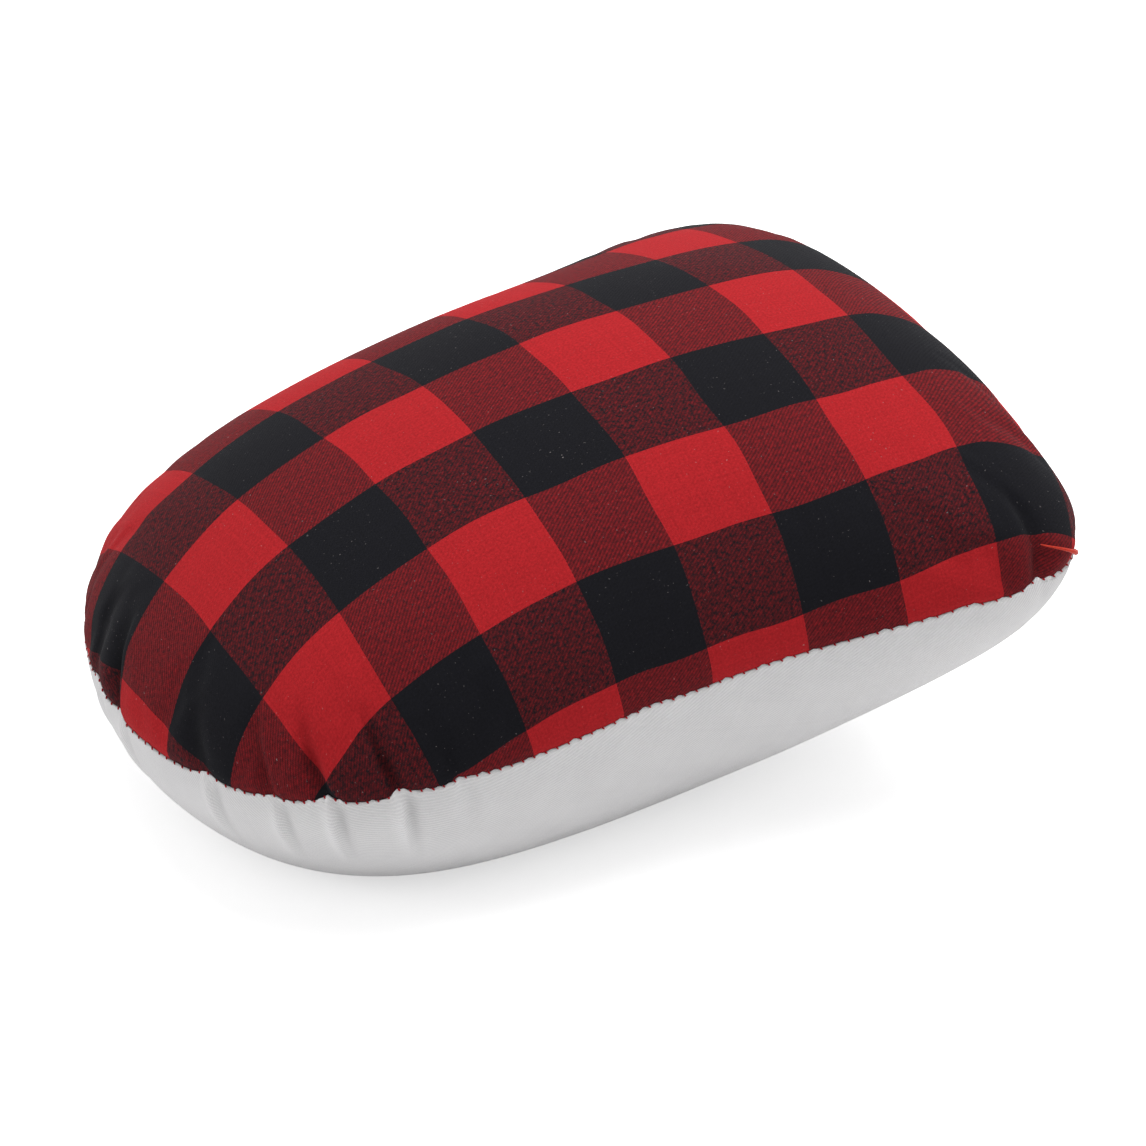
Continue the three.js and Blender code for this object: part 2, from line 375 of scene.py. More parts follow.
def flattened(piece, side):
    """Metres along and across the cloth, from the middle of the cover, for each vertex."""
    mesh = piece.data
    mesh.uv_layers.new(name="cloth")
    bpy.ops.object.select_all(action="DESELECT")
    bpy.context.view_layer.objects.active = piece
    piece.select_set(True)
    bpy.ops.object.mode_set(mode="EDIT")
    bpy.ops.mesh.select_all(action="SELECT")
    bpy.ops.uv.unwrap(method="MINIMUM_STRETCH", iterations=20, margin=0.0)
    bpy.ops.object.mode_set(mode="OBJECT")
    corners = np.empty(2 * len(mesh.loops))
    mesh.uv_layers["cloth"].data.foreach_get("uv", corners)
    ends = np.empty(len(mesh.loops), int)
    mesh.loops.foreach_get("vertex_index", ends)
    flat = np.empty((len(mesh.vertices), 2))
    flat[ends] = corners.reshape(-1, 2)
    surface = sum(face.area for face in mesh.polygons)
    spread = 0.0
    for face in mesh.polygons:
        a, b, c, d = (flat[k] for k in face.vertices)
        spread += abs((c[0] - a[0]) * (d[1] - b[1]) - (c[1] - a[1]) * (d[0] - b[0])) / 2
    flat *= math.sqrt(surface / spread)

    points = np.array([v.co for v in mesh.vertices])

    def flat_at(around, rise):
        return flat[np.linalg.norm(points - np.array(ham_point(around, rise)), axis=1).argmin()]

    middle = flat_at(0, side * CROWN)
    length = flat_at(0, 0) - flat_at(math.pi, 0)
    length = length / np.linalg.norm(length)
    width = np.array((-length[1], length[0]))
    if (flat_at(CROWN, 0) - middle) @ width < 0:
        width = -width
    return np.stack(((flat - middle) @ length, (flat - middle) @ width), 1)


def set_cloth(piece, cloth):
    """Writes a place on the cloth for each vertex into the UV map."""
    ends = np.empty(len(piece.data.loops), int)
    piece.data.loops.foreach_get("vertex_index", ends)
    piece.data.uv_layers["cloth"].data.foreach_set("uv", cloth[ends].ravel())


checked_flat = flattened(checked_cover, TOP)
drill_flat = flattened(drill_cover, BOTTOM)
print("flat pieces, metres:", np.ptp(checked_flat, 0).round(3), np.ptp(drill_flat, 0).round(3))

# %% [markdown]
# ## Where the checks fall
# The maker laid the checks along the ham, a little off its middle, and the cloth swung sideways as it was
# drawn round the narrow end. The flat piece is eased in the same way: the lengthwise lines keep their
# spacing and bow along a shallow curve, and the crosswise lines bend a little towards both long sides. At
# the near corner of the broad end the cloth is pulled askew, so its checks are skewed and dropped there. A
# slow noise lets both sets of lines wander, because no cloth is drawn on quite straight.

# %% Ease the checks
FIRST_ALONG, FIRST_ACROSS = 4.2544, 2.4365
SPACING_ALONG, SPACING_ACROSS = 1.0245, 1.009
TURNED, CURVED, FANNED = 0.0159, 0.0140, -0.0042
SWING = (-0.0593, 0.0189, 0.0076)
SWING_ENDS = 3.0
CORNER_FROM, CORNER_ROW, CORNER_REACH = 2.6, -2.8, 1.2
CORNER_SKEW, CORNER_DROP = 0.39, 0.1
WANDER, WANDER_RATE, WANDER_SEEDS = 0.035, 1.4, (2.5, 9.5)


def eased(flat):
    """The place in the woven checks, in metres, for places on the flat piece."""
    s, t = (flat / CHECK).T
    held = np.minimum(s, SWING_ENDS)
    along = FIRST_ALONG + SPACING_ALONG * s + TURNED * t + (CURVED + FANNED * s) * t ** 2
    across = FIRST_ACROSS - SPACING_ACROSS * t
    across += SWING[0] * held + SWING[1] * held ** 2 + SWING[2] * held ** 3
    corner, beside = np.clip(s - CORNER_FROM, 0, 1), t - CORNER_ROW
    along -= CORNER_SKEW * corner * beside * np.exp(-((beside / CORNER_REACH) ** 2))
    across -= CORNER_DROP * corner * np.clip(-1 - t, 0, 1)
    for lines, seed in zip((along, across), WANDER_SEEDS):
        lines += [WANDER * noise.noise(Vector((a, b, seed)) * WANDER_RATE) for a, b in zip(s, t)]
    return np.stack((along, across), 1) * CHECK


set_cloth(checked_cover, eased(checked_flat))
set_cloth(drill_cover, drill_flat)
print("checks along", np.ptp(eased(checked_flat)[:, 0] / CHECK).round(2))

# %% [markdown]
# ## Puffing up the covers
# The sawdust presses the cloth out, and the seam holds it. The edge of each cover was longer than the seam,
# so its spare cloth puckers beside it and runs into folds at the tucks. Blender's Cloth does the same: the
# edge is pinned, the cloth near it is given a few per cent of fullness, and pressure fills it with no
# gravity. The whole cover swells as well. That slow part of the movement is averaged out and left off, and
# the rest is capped and held at the seam, so the folds stay and the cover keeps its measured shape.

# %% Simulate the fullness at the seam
FULLNESS, FULLNESS_REACH = 0.06, 0.02
TURNS = ((180, 60), (50, 8), (310, 8))
FRAMES, QUALITY, PRESSURE, CLOTH_MASS = 20, 6, 40.0, 0.001
STRETCH, SHEAR, BEND = 10, 5, 0.01
MOST_OUT, MOST_IN = 0.0022, 0.0016
SEAM_HOLD = 0.0015
SLOW_ROUNDS = 64
RESTING = 0.002


def slow_part(piece, moved):
    """The part of a movement that changes slowly over the cover, by averaging with the neighbours."""
    ends = np.array([edge.vertices for edge in piece.data.edges])
    count = np.bincount(ends.ravel())[:, None]
    for _ in range(SLOW_ROUNDS):
        total = np.zeros_like(moved)
        np.add.at(total, ends[:, 0], moved[ends[:, 1]])
        np.add.at(total, ends[:, 1], moved[ends[:, 0]])
        moved = (moved + total / count) / 2
    return moved


def puffed(piece, places, side):
    """Fills a cover by simulation, moves its points to the folds, and returns how far they went out."""
    start = np.array([v.co for v in piece.data.vertices])
    normals = np.array([v.normal for v in piece.data.vertices])
    pins = piece.vertex_groups.new(name="seam")
    spare = piece.vertex_groups.new(name="spare")
    free = np.empty((len(places), 1))
    for k, (around, rise) in enumerate(places):
        away = abs(rise - seam_rise(around)) * reach_of(side) - FACE - TURN
        if away < 1e-6 or start[k][2] < RESTING:
            pins.add([k], 1.0, "REPLACE")
        free[k] = 1 - math.exp(-away / SEAM_HOLD)
        eased_in = sum(math.exp(-((aside_of(around, place) / span) ** 4)) for place, span in TURNS)
        spare.add([k], min(1.0, eased_in) * math.exp(-away / FULLNESS_REACH), "REPLACE")
    cloth = piece.modifiers.new("filling", "CLOTH")
    held = cloth.settings
    held.quality = QUALITY
    held.mass = CLOTH_MASS
    held.tension_stiffness = held.compression_stiffness = STRETCH
    held.shear_stiffness = SHEAR
    held.bending_stiffness = BEND
    held.vertex_group_mass = "seam"
    held.vertex_group_shrink = "spare"
    held.shrink_min, held.shrink_max = 0.0, -FULLNESS
    held.use_pressure = True
    held.uniform_pressure_force = PRESSURE
    held.effector_weights.gravity = 0
    cloth.collision_settings.use_collision = False
    cloth.point_cache.frame_end = FRAMES
    for number in range(1, FRAMES + 1):
        scene.frame_set(number)
    settled = piece.evaluated_get(bpy.context.evaluated_depsgraph_get())
    moved = np.array([v.co for v in settled.data.vertices]) - start
    piece.modifiers.remove(cloth)
    piece.vertex_groups.clear()
    scene.frame_set(1)
    moved = (moved - slow_part(piece, moved)) * free
    out = np.einsum("ij,ij->i", moved, normals)
    moved += normals * (np.clip(out, -MOST_IN, MOST_OUT) - out)[:, None]
    piece.data.vertices.foreach_set("co", (start + moved).ravel())
    piece.data.update()
    return out


for piece, places, side in ((checked_cover, checked_places, TOP), (drill_cover, drill_places, BOTTOM)):
    out = puffed(piece, places, side)
    print(piece.name, "moved out by", (1000 * np.percentile(out, (0, 10, 50, 90, 100))).round(2), "mm")

# %% [markdown]
# ## Tucks
# Where the seam turns tightly, the maker could not ease in all the spare cloth, and it was caught under the
# needle as small tucks. Each one lifts the seam a little, leaves a sharp valley in the checked cloth above,
# and draws a ridge in the drill below. A sculpting brush could press them in, but a few numbers for each
# tuck keep both covers and the seam between them together. The same numbers say how deep in a fold a point
# lies, which the cloth's material uses to paint shade into the folds and a highlight on the drill's ridges.

# %% How a tuck moves the cloth
# Place round the seam in degrees, lift of the seam, how that fades before and after in degrees, depth of the
# valley above, height of the ridge below, and how the valley leans, in degrees round for each metre above.
TUCKS = (
    (52, 0.0014, 1.5, 1.5, 0.0010, 0.0003, 0),
    (127, 0.0014, 2.0, 2.0, 0.0012, 0.0009, 160),
    (143, 0.0004, 2.0, 1.5, 0.0016, 0.0012, 210),
    (150, -0.0020, 10.0, 6.0, 0.0, 0.0, 0),
    (158, 0.0002, 1.5, 2.0, 0.0010, 0.0009, 240),
    (169.7, 0.0018, 1.2, 1.8, 0.0014, 0.0008, 255),
    (178, 0.0016, 2.5, 0.8, 0.0034, 0.0014, 260),
    (197.5, 0.0019, 2.0, 2.0, 0.0015, 0.0018, 250),
    (209, 0.0010, 2.0, 0.9, 0.0015, 0.0019, 225),
    (217.5, 0.0021, 1.8, 1.5, 0.0026, 0.0025, 205),
    (228, 0.0019, 0.8, 3.5, 0.0028, 0.0027, 175),
    (236.8, 0.0014, 0.8, 3.0, 0.0006, 0.0006, 140),
    (264.5, 0.0014, 9.0, 2.5, 0.0, 0.0, 0),
    (302, 0.0014, 3.0, 3.0, 0.0, 0.0, 0),
    (310.7, 0.0016, 1.4, 1.6, 0.0026, 0.0004, -130),
)
LIFT_REACH, VALLEY_REACH, RIDGE_REACH = 0.006, 0.027, 0.013
CREASE_SPAN, TUCK_SPAN = 2.2, 3.4
RIDGE_CLIMB, RIDGE_FALL = 1.2, 0.55
HOLLOW_PLACE, HOLLOW_SPAN, HOLLOW = 1.6, 0.8, 0.5
AT_SEAM, GROWTH, DEEP = 0.3, 0.004, 0.0025


def tucked(around, distance, side):
    """How far the tucks draw a point in, lift it and paint shade on it, at a distance from the seam on one
    side.
    """
    inward = lift = shade = 0.0
    grown = 1 - math.exp(-distance / GROWTH)
    faded = max(0.0, 1 - (distance / VALLEY_REACH) ** 2) ** 2
    for place, raised, before, after, valley, ridge, lean in TUCKS:
        aside = aside_of(around, place - lean * distance if side == TOP else place)
        fade = after if aside > 0 else before
        crease = valley * math.exp(-((aside / min(fade, CREASE_SPAN)) ** 2))
        lift += raised * math.exp(-abs(aside) / fade - distance / LIFT_REACH)
        if side == TOP:
            pressed = crease * (AT_SEAM + (1 - AT_SEAM) * grown) * faded
            inward += pressed
            # Painted shade in the valley, centred a little before the crease.
            shade += pressed / DEEP * math.exp(-(((aside + fade / 3) / fade) ** 2))
        else:
            fold = math.exp(-((aside / (RIDGE_FALL if aside > 0 else RIDGE_CLIMB)) ** 2))
            hollow = math.exp(-(((aside - HOLLOW_PLACE) / HOLLOW_SPAN) ** 2))
            drawn = ridge * grown * math.exp(-((distance / RIDGE_REACH) ** 2))
            inward += AT_SEAM * crease * (1 - grown) - drawn * (fold - HOLLOW * hollow)
            # Painted shade in the hollow after the ridge, and a painted highlight (below 0) on the ridge
            # itself.
            shade += drawn / DEEP * (hollow - HOLLOW * fold)
    return inward, lift, shade


def seam_frame(around, step=1e-4):
    """The seam's point, moved by the tucks, and the direction out of the ham in the plane of the seam."""
    ahead = ham_point(around + step, seam_rise(around + step))
    behind = ham_point(around - step, seam_rise(around - step))
    out = (ahead - behind).cross(SEAM_UP).normalized()
    inward, lift, _ = tucked(around, 0.0, TOP)
    return ham_point(around, seam_rise(around)) + SEAM_UP * lift - out * inward, out


def plan_angle(place, rounds=6, step=1e-3, near=1e-5):
    """The angle around the plan of a point near the seam, found in a few steps along it."""
    around = math.atan2(place.y / HALF_WAIST, place.x / HALF_LENGTH)
    for _ in range(rounds):
        here = ham_point(around, seam_rise(around))
        way = (ham_point(around + step, seam_rise(around + step)) - here) / step
        change = (place - here).dot(way) / way.length_squared
        around += change
        if abs(change) < near:
            break
    return around


print(len(TUCKS), "tucks, the deepest", 1000 * max(tuck[4] for tuck in TUCKS), "mm")

# %% [markdown]
# ## Turning in the edges
# Each cover is sewn with its edge folded to the inside. One subdivision rounds the cloth, and a second one
# beside the tucks gives their creases enough points. The stitches hold the edge down and it bulges between
# them, so it is scalloped. Two extrusions of the edge then make the fold and the seam allowance, and
# Solidify gives the cloth its thickness.

# %% Subdivide, tuck, scallop, fold and thicken
SCALLOP, SCALLOP_REACH = {TOP: 0.0002, BOTTOM: 0.0012}, 0.0010
LIP = {TOP: 0.0, BOTTOM: 0.25}
SCALLOP_EVEN, SCALLOP_UNEVEN, SCALLOP_SEED = 0.85, 0.8, 5.3
SEAM_ZONE, FLAT_TUCK = 0.024, 0.0006
LONG_STEP = 0.001
STEP = 2 * math.pi / STITCHES


def edge_point(around, side, offset, depth):
    """A point of the turned-in edge: beside the plane of the seam by an offset, and in by a depth."""
    origin, out = seam_frame(around)
    return origin + SEAM_UP * side * offset - out * depth


def from_seam(place):
    """The angle round the plan and the distance from the seam of a point of the cover."""
    around = plan_angle(place)
    return around, (place - ham_point(around, seam_rise(around))).length


def far_from_seam(place):
    return abs((place - Vector((0, 0, SEAM_HEIGHT))).dot(SEAM_UP)) > SEAM_ZONE


def beside_tuck(place):
    if far_from_seam(place):
        return False
    around, distance = from_seam(place)
    leaning = [(tuck[0], tuck[6] * distance) for tuck in TUCKS if tuck[4] > FLAT_TUCK]
    return any(
        -TUCK_SPAN - max(lean, 0) < aside_of(around, spot) < TUCK_SPAN - min(lean, 0)
        for spot, lean in leaning
    )


def scallop(around, distance, side):
    """How far the cloth is lifted between two stitches."""
    uneven = SCALLOP_EVEN + SCALLOP_UNEVEN * noise.noise(Vector((around / STEP, SCALLOP_SEED, 0)))
    between = abs(math.sin(math.pi * around / STEP))
    return SCALLOP[side] * uneven * between * math.exp(-distance / SCALLOP_REACH)


def turned_in(bm, rim, side, offset, depths):
    """Extrudes the edge of a cover or a lining to each depth in turn."""
    for depth in depths:
        made = bmesh.ops.extrude_edge_only(bm, edges=rim)["geom"]
        rim = [item for item in made if isinstance(item, bmesh.types.BMEdge) and item.is_boundary]
        for vert in (item for item in made if isinstance(item, bmesh.types.BMVert)):
            vert.co = edge_point(plan_angle(vert.co), side, offset, depth)
    bmesh.ops.recalc_face_normals(bm, faces=bm.faces)


def thickened(piece, name, thickness):
    wall = piece.modifiers.new(name, "SOLIDIFY")
    wall.thickness = thickness
    wall.offset = -1


def finished_cover(piece, side):
    """Gives a cover its tucks, its scalloped and turned-in edge and its thickness."""
    finer = piece.modifiers.new("finer", "SUBSURF")
    finer.levels = finer.render_levels = 1
    mesh = bpy.data.meshes.new_from_object(piece.evaluated_get(bpy.context.evaluated_depsgraph_get()))
    piece.modifiers.remove(finer)
    bm = bmesh.new()
    bm.from_mesh(mesh)
    creased = {vert for vert in bm.verts if beside_tuck(vert.co)}
    close = [edge for edge in bm.edges if edge.verts[0] in creased and edge.verts[1] in creased]
    bmesh.ops.subdivide_edges(bm, edges=close, cuts=2, use_grid_fill=True)
    long_rim = [edge for edge in bm.edges if edge.is_boundary and edge.calc_length() > LONG_STEP]
    bmesh.ops.subdivide_edges(bm, edges=long_rim, cuts=1)
    rim = [edge for edge in bm.edges if edge.is_boundary]
    # The fold layer holds painted shade for each point near the seam, and below 0 a painted highlight.
    painted_shade_amounts = bm.verts.layers.float.new("fold")
    bm.normal_update()
    for vert in bm.verts:
        if far_from_seam(vert.co):
            continue
        around, distance = from_seam(vert.co)
        inward, lift, vert[painted_shade_amounts] = tucked(around, distance, side)
        raised = scallop(around, distance, side)
        vert.co += SEAM_UP * (lift + raised) + vert.normal * (LIP[side] * raised - inward)
    turned_in(bm, rim, side, FACE, (TURN, SEAM_ALLOWANCE))
    bm.to_mesh(piece.data)
    skin = BVHTree.FromBMesh(bm)
    bm.free()
    bpy.data.meshes.remove(mesh)
    for face in piece.data.polygons:
        face.use_smooth = True
    thickened(piece, "cloth_thickness", COVER_THICKNESS[side])
    return skin


skins = {TOP: finished_cover(checked_cover, TOP), BOTTOM: finished_cover(drill_cover, BOTTOM)}
print("covers folded in by", 1000 * SEAM_ALLOWANCE, "mm")

# %% [markdown]
# ## Linings and filling
# Under each cover lies a plain calico lining, and inside the linings the sawdust is packed hard. None of it
# shows, but the ham would be empty without it. The linings are cut from the same blank as the covers and
# set a little deeper. A tree of each cover's faces finds the points that a fold of the cover would cut, and
# these are pushed further in. The filling is the whole ball, with a groove for the turned-in edges.

# %% The inner pieces
INNER_GRID = 28
INNER_STEP = math.radians(90 / INNER_GRID)
LINING_THICKNESS = 0.0005
LINING_DEPTH = {side: COVER_THICKNESS[side] + CLEARANCE for side in (TOP, BOTTOM)}
FILLING_DEPTH = {side: LINING_DEPTH[side] + LINING_THICKNESS + CLEARANCE for side in (TOP, BOTTOM)}
GRAIN_SIZE, GRAIN_DEPTH = 0.0025, 0.0002
GROOVE_ROOM = 0.0011
GROOVE = {side: FACE + FILLING_DEPTH[side] + GROOVE_ROOM for side in (TOP, BOTTOM)}


def under(around, rise, depth, side):
    """A point at a depth under the outside, and at least that deep under the folds of the cover."""
    distance = (ham_point(around, rise) - ham_point(around, seam_rise(around))).length
    nearby = [around + share * INNER_STEP / 2 for share in (-2, -1, 0, 1, 2)]
    valley = max(tucked(beside, distance, side)[0] for beside in nearby)
    point = ham_point(around, rise) - outward(around, rise) * (depth + max(valley, 0.0))
    place, normal, _, _ = skins[side].find_nearest(point)
    return point if (point - place).dot(normal) < -depth else place - normal * depth


def lining(name, side):
    bm = half_ball(INNER_GRID, side)
    depth, offset = LINING_DEPTH[side], FACE + LINING_DEPTH[side]
    for vert, (around, rise) in [(v, angles(v, side, 2 * offset)) for v in bm.verts]:
        vert.co = under(around, rise, depth, side)
    rim = [edge for edge in bm.edges if edge.is_boundary]
    turned_in(bm, rim, side, offset, (depth, SEAM_ALLOWANCE))
    piece = new_piece(name, bm)
    thickened(piece, "calico_thickness", LINING_THICKNESS)
    return piece


upper_calico = lining("upper_calico", TOP)
lower_calico = lining("lower_calico", BOTTOM)

bm = ball(2 * INNER_GRID)
row = math.sin(CROWN / INNER_GRID / 2)
for vert in bm.verts:
    side = TOP if vert.co.z >= 0 else BOTTOM
    on_edge = abs(vert.co.z) < 0.5 * row
    beside = not on_edge and abs(vert.co.z) < 1.5 * row
    around, rise = angles(vert, side, GROOVE[side])
    if on_edge or beside:
        vert.co = edge_point(around, side, GROOVE[side] if beside else 0, SEAM_ALLOWANCE + CLEARANCE)
    else:
        point = under(around, rise, FILLING_DEPTH[side], side)
        vert.co = point - outward(around, rise) * GRAIN_DEPTH * (1 + noise.noise(point / GRAIN_SIZE))
bmesh.ops.recalc_face_normals(bm, faces=bm.faces)
packed_sawdust = new_piece("packed_sawdust", bm)
for piece in (upper_calico, lower_calico, packed_sawdust):
    for face in piece.data.polygons:
        face.use_smooth = True
print("inner pieces:", upper_calico.name, lower_calico.name, packed_sawdust.name)

# %% [markdown]
# ## The machine seam
# The seam was sewn inside out on a machine: a needle thread on one side of the turned-in edges, a bobbin
# thread on the other, locked together at each stitch. Where the hard filling pulls the seam open, a short
# nub of red thread shows at every stitch and holds the edge down. Each piece of thread is a small ball of a
# few faces, stretched between two points. That is light enough to repeat for the whole seam.

# %% Stitches along the seam
MACHINE_THREAD, STITCH_INSET = 0.0005, 0.0015
NUB, NUB_DROP, NUB_SLANT = 0.0005, 0.00015, 0.0003
NUB_UNEVEN, NUB_SEED, NUB_SWELLS = 0.8, (1.7, 3.1), 0.2
GAP_FROM, GAP_TO = math.radians(8), math.radians(-40)


def thread_bar(bm, start, end, thickness):
    """A short piece of thread between two points, drawn thin at both ends."""
    way = end - start
    turn = way.to_track_quat("Z", "Y").to_matrix().to_4x4()
    size = Matrix.Diagonal((thickness / 2, thickness / 2, way.length / 2 + thickness / 4, 1))
    place = Matrix.Translation((start + end) / 2) @ turn @ size
    bmesh.ops.create_uvsphere(bm, u_segments=6, v_segments=6, radius=1, matrix=place)


def in_gap(around):
    """Whether a place lies in the gap that was left for filling."""
    return GAP_TO < (around + math.pi) % (2 * math.pi) - math.pi < GAP_FROM


def on_allowance(around, side):
    """The machine thread's place on the lining of the turned-in edge."""
    offset = FACE + FILLING_DEPTH[side] + MACHINE_THREAD / 2
    return edge_point(around, side, offset, FILLING_DEPTH[side] - CLEARANCE + STITCH_INSET)


needle_bm, bobbin_bm = bmesh.new(), bmesh.new()
shown = 0
for number in range(STITCHES):
    here, there = number * STEP, (number + 1) * STEP
    if in_gap(here) or in_gap(there):
        continue
    thread_bar(needle_bm, on_allowance(here, TOP), on_allowance(there, TOP), MACHINE_THREAD)
    thread_bar(bobbin_bm, on_allowance(here, BOTTOM), on_allowance(there, BOTTOM), MACHINE_THREAD)
    origin, out = seam_frame(here)
    onwards = (seam_frame(there)[0] - origin).normalized()
    uneven = 1 + NUB_UNEVEN * noise.noise(Vector((number * NUB_SEED[0], NUB_SEED[1], 0)))
    start = origin + SEAM_UP * NUB / 2
    end = origin - SEAM_UP * NUB_DROP * uneven + onwards * NUB_SLANT * uneven + out * NUB / 2
    thread_bar(needle_bm, start, end, NUB * (1 - NUB_SWELLS + NUB_SWELLS * uneven))
    shown += 1
needle_stitches = new_piece("needle_stitches", needle_bm)
bobbin_stitches = new_piece("bobbin_stitches", bobbin_bm)
print(shown, "machine stitches")

# %% [markdown]
# ## The closed filling gap
# The sawdust went in through a gap in the seam at the broad end, which was then closed by hand with a
# thicker, more orange thread. Its stitches cross the ditch further apart, and its end was left loose: it
# comes round the corner on to the checked cover. The loose end is a ring of six points, extruded along its
# way.

# %% Hand stitches and the loose end
CLOSING_THREAD, HAND_STITCH = 0.0009, math.radians(2.2)
HAND_ABOVE, HAND_BELOW, HAND_SLANT = 0.0010, 0.0012, 0.6
DOWN_THICK, UP_THICK = 0.8 * CLOSING_THREAD, 0.6 * CLOSING_THREAD
TAIL_TO, TAIL_CLIMB, TAIL_BEND, TAIL_STEPS = math.radians(-48.3), 0.009, 1.1, 14
TAIL_LIE, TAIL_LIFT = 0.0005, 0.0008
TAIL_THICK, TAIL_THINS = 0.85, 0.65


def thread_run(bm, path):
    """A thread along a path of points and radii: a ring, extruded from point to point and closed."""
    ring = bmesh.ops.create_circle(bm, segments=6, radius=1)["verts"]
    edges = list({edge for vert in ring for edge in vert.link_edges})
    first = edges
    old = Matrix.Identity(4)
    for number, (place, radius) in enumerate(path):
        if number:
            made = bmesh.ops.extrude_edge_only(bm, edges=edges)["geom"]
            ring = [item for item in made if isinstance(item, bmesh.types.BMVert)]
            edges = [item for item in made if isinstance(item, bmesh.types.BMEdge) and item.is_boundary]
        way = path[min(number + 1, len(path) - 1)][0] - path[max(number - 1, 0)][0]
        turn = way.to_track_quat("Z", "Y").to_matrix().to_4x4()
        new = Matrix.Translation(place) @ turn @ Matrix.Scale(radius, 4)
        bmesh.ops.transform(bm, verts=ring, matrix=new @ old.inverted())
        old = new
    for rim in (first, edges):
        bmesh.ops.holes_fill(bm, edges=rim, sides=6)
    bmesh.ops.recalc_face_normals(bm, faces=bm.faces)


closing_bm = bmesh.new()
around = GAP_FROM
while around > GAP_TO + HAND_STITCH:
    start = seam_frame(around)[0] + SEAM_UP * HAND_ABOVE
    end = seam_frame(around - HAND_SLANT * HAND_STITCH)[0] - SEAM_UP * HAND_BELOW
    next_start = seam_frame(around - HAND_STITCH)[0] + SEAM_UP * HAND_ABOVE
    thread_bar(closing_bm, start, end, DOWN_THICK)
    thread_bar(closing_bm, end, next_start, UP_THICK)
    around -= HAND_STITCH
tail = []
for step in range(TAIL_STEPS + 1):
    share = step / TAIL_STEPS
    angle = GAP_TO + (TAIL_TO - GAP_TO) * share
    climb = seam_rise(angle) + TAIL_CLIMB * share ** TAIL_BEND / CROWN_RISE
    lift = TAIL_LIE + TAIL_LIFT * math.sin(math.pi * share) ** 2
    radius = CLOSING_THREAD * (TAIL_THICK - TAIL_THINS * share)
    tail.append((ham_point(angle, climb) + outward(angle, climb) * lift, radius))
thread_run(closing_bm, tail)
closing_stitches = new_piece("closing_stitches", closing_bm)
loose = sum((b[0] - a[0]).length for a, b in zip(tail, tail[1:]))
print("loose end of", round(1000 * loose, 1), "mm")

# %% [markdown]
# ## A weave for every cloth
# All the cloths here are woven from two sets of threads, and a twill shows its diagonal because each thread
# floats over two and dips under two, one step further along on the next thread. One node group works that
# out from the metres of cloth in the UV map: which set lies on top at a point, how round the thread is
# there, and a tone that differs a little from thread to thread. Every cloth uses the group with its own
# thread spacing.

# %% The twill node group
REPEAT, FLOATS = 4, 2.0
WEFT_SEED, WARP_SEED = 0.37, 5.71


def mixed(tree, factor, first, second, blend="MIX"):
    """Two colours mixed by a factor."""
    node = tree.nodes.new("ShaderNodeMix")
    node.data_type = "RGBA"
    node.blend_type = blend
    for name, value in (("Factor_Float", factor), ("A_Color", first), ("B_Color", second)):
        wire(tree, next(s for s in node.inputs if s.identifier == name), value)
    return next(s for s in node.outputs if s.identifier == "Result_Color")


def noise_of(tree, vector, scale, detail=2.0, roughness=0.5):
    node = tree.nodes.new("ShaderNodeTexNoise")
    wire(tree, node.inputs["Vector"], vector)
    node.inputs["Scale"].default_value = scale
    node.inputs["Detail"].default_value = detail
    node.inputs["Roughness"].default_value = roughness
    return node.outputs["Fac"]


def ramp(tree, value, low, high):
    """0 below low, 1 above high, and a straight climb between."""
    node = tree.nodes.new("ShaderNodeMapRange")
    wire(tree, node.inputs["Value"], value)
    node.inputs["From Min"].default_value = low
    node.inputs["From Max"].default_value = high
    return node.outputs["Result"]


def new_group(name, inputs, outputs):
    """An empty node group, the sockets that it is given and those that it fills."""
    group = bpy.data.node_groups.new(name, "ShaderNodeTree")
    for label, kind in inputs:
        group.interface.new_socket(label, in_out="INPUT", socket_type=kind)
    for label, kind in outputs:
        group.interface.new_socket(label, in_out="OUTPUT", socket_type=kind)
    given = group.nodes.new("NodeGroupInput").outputs
    return group, given, group.nodes.new("NodeGroupOutput").inputs


NUMBER = "NodeSocketFloat"
weave, given, result = new_group(
    "twill_weave",
    [(label, NUMBER) for label in ("Along", "Across", "Weft Spacing", "Warp Spacing", "Floats")],
    [(label, NUMBER) for label in ("Lengthwise On Top", "Height", "Tone")],
)
weft = calc(weave, "DIVIDE", given["Along"], given["Weft Spacing"])
warp = calc(weave, "DIVIDE", given["Across"], given["Warp Spacing"])
weft_number, warp_number = calc(weave, "FLOOR", weft), calc(weave, "FLOOR", warp)
step_along = calc(weave, "FLOORED_MODULO", calc(weave, "ADD", weft_number, warp_number), float(REPEAT))
on_top = calc(weave, "LESS_THAN", step_along, given["Floats"])


def roundness(tree, place):
    """The height of a round thread: 1 along its middle, 0 at its edges."""
    aside = calc(tree, "SUBTRACT", calc(tree, "MULTIPLY", calc(tree, "FRACT", place), 2.0), 1.0)
    return calc(tree, "SUBTRACT", 1.0, calc(tree, "MULTIPLY", aside, aside))


def choose(tree, factor, off, on):
    """One value where the factor is 0, another where it is 1."""
    return calc(tree, "ADD", off, calc(tree, "MULTIPLY", factor, calc(tree, "SUBTRACT", on, off)))


def thread_tone(tree, number, seed):
    node = tree.nodes.new("ShaderNodeTexWhiteNoise")
    node.noise_dimensions = "1D"
    wire(tree, node.inputs["W"], calc(tree, "ADD", number, seed))
    return node.outputs["Value"]


wire(weave, result["Lengthwise On Top"], on_top)
wire(weave, result["Height"], choose(weave, on_top, roundness(weave, weft), roundness(weave, warp)))
weft_tone = thread_tone(weave, weft_number, WEFT_SEED)
warp_tone = thread_tone(weave, warp_number, WARP_SEED)
wire(weave, result["Tone"], choose(weave, on_top, weft_tone, warp_tone))
print("group", weave.name, "with", len(weave.nodes), "nodes")
